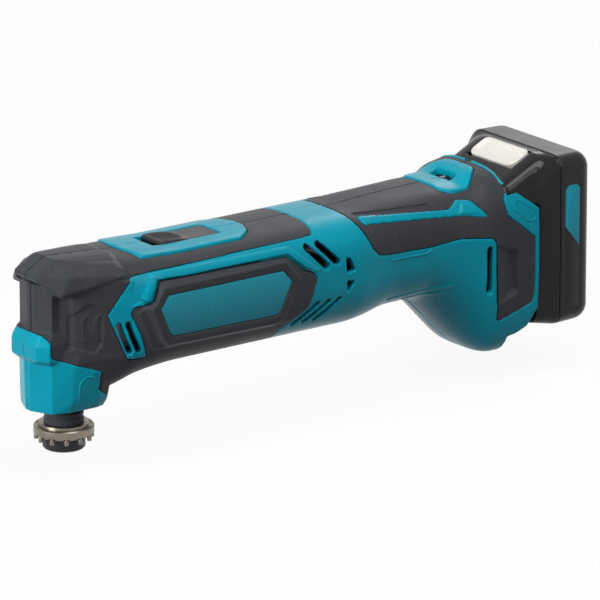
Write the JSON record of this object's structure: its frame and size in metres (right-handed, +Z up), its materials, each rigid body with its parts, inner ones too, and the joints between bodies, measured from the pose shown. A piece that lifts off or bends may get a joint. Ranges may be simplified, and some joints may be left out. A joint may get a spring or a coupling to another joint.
{
  "type": "cordless oscillating multi-tool",
  "caption": "Handheld cordless oscillating multi-tool with a pinned accessory seat, slide switch, speed dial, rubber grips and slide-on battery.",
  "frame": {"origin": "on the spindle axis, at the flange face that an accessory is clamped against", "axes": "+X from the head back to the battery, +Z up the spindle away from the accessory, +Y to the tool's right hand side seen from behind its battery"},
  "size_m": [0.2622, 0.059, 0.0861],
  "materials": {
    "teal_plastic": "moulded nylon housing, satin",
    "grip_rubber": "soft over-moulded rubber, fine grain",
    "black_plastic": "black moulded plastic, light grain",
    "plate_teal": "blank printed plate",
    "button_white": "off-white moulded button",
    "flange_nickel": "warm satin nickel",
    "steel": "ground steel",
    "black_steel": "black oxide steel",
    "cast_aluminium": "die cast, as cast",
    "copper": "copper wire and segments",
    "brass": "plated contact brass",
    "board_green": "printed circuit board",
    "magnet": "sintered ferrite",
    "carbon": "carbon brush",
    "cell_wrap": "shrink wrapped cell",
    "lens_clear": "clear lens"
  },
  "bodies": {
    "housing": {"housing_left": "teal_plastic", "housing_right": "teal_plastic", "front_grip_left": "grip_rubber", "front_grip_right": "grip_rubber", "rear_grip_left": "grip_rubber", "rear_grip_right": "grip_rubber", "name_plate_left": "plate_teal", "name_plate_right": "plate_teal", "housing_screws": "black_steel", "gear_housing": "cast_aluminium", "low_bearing": "steel", "top_bearing": "steel", "front_bearing": "steel", "motor_can": "cast_aluminium", "magnets": "magnet", "motor_end_cap": "black_plastic", "brushes": "carbon", "rear_bearing": "steel", "switch_unit": "black_plastic", "dial_pot": "black_plastic", "control_board": "board_green", "terminal_block": "black_plastic", "contact_blades": "brass", "lamp_lens": "lens_clear", "lamp_board": "board_green"},
    "rotor": {"rotor_shaft": "steel", "eccentric_bearing": "steel", "balance_weight": "brass", "fan": "black_plastic", "rotor_core": "steel", "windings": "copper", "commutator": "copper"},
    "spindle": {"spindle": "steel", "swing_fork": "steel", "tool_flange": "flange_nickel", "flange_pins": "flange_nickel", "spindle_boot": "grip_rubber"},
    "clamp": {"clamp_cap": "black_steel"},
    "bolt": {"clamp_bolt": "black_steel"},
    "switch": {"switch_slider": "black_plastic", "switch_rod": "black_plastic"},
    "dial": {"speed_dial": "black_plastic"},
    "battery": {"battery_front": "black_plastic", "battery_rear": "black_plastic", "battery_labels": "plate_teal", "cells": "cell_wrap", "cell_frame": "black_plastic", "cell_straps": "steel", "battery_board": "board_green", "battery_contacts": "brass", "latch_spring": "steel"},
    "button": {"battery_button": "button_white"}
  },
  "joints": [
    {"name": "rotor_spin", "type": "hinge", "parent": "housing", "child": "rotor", "pos_m": [0.06, 0, 0.0474], "axis": [1, 0, 0], "continuous": true},
    {"name": "spindle_swing", "type": "hinge", "parent": "housing", "child": "spindle", "pos_m": [0, 0, 0], "axis": [0, 0, 1], "range_deg": [-1.6, 1.6]},
    {"name": "clamp_slide", "type": "slide", "parent": "spindle", "child": "clamp", "axis": [0, 0, -1], "range_m": [0, 0.01]},
    {"name": "bolt_turn", "type": "hinge", "parent": "clamp", "child": "bolt", "pos_m": [0, 0, 0], "axis": [0, 0, -1], "range_deg": [-3600, 0]},
    {"name": "switch_slide", "type": "slide", "parent": "housing", "child": "switch", "axis": [-1, 0, 0], "range_m": [0, 0.0038]},
    {"name": "speed_dial", "type": "hinge", "parent": "housing", "child": "dial", "pos_m": [0.1884, 0, 0.0608], "axis": [1, 0, 0], "range_deg": [-125, 125]},
    {"name": "battery_slide", "type": "slide", "parent": "housing", "child": "battery", "axis": [0, 0, 1], "range_m": [0, 0.055]},
    {"name": "battery_button", "type": "slide", "parent": "battery", "child": "button", "axis": [0.44, 0, -0.898], "range_m": [0, 0.002], "stiffness_N_per_m": 1500}
  ],
  "couplings": [
    {"joint": "bolt_turn", "follows": "clamp_slide", "rad_per_m": -6283.2}
  ]
}
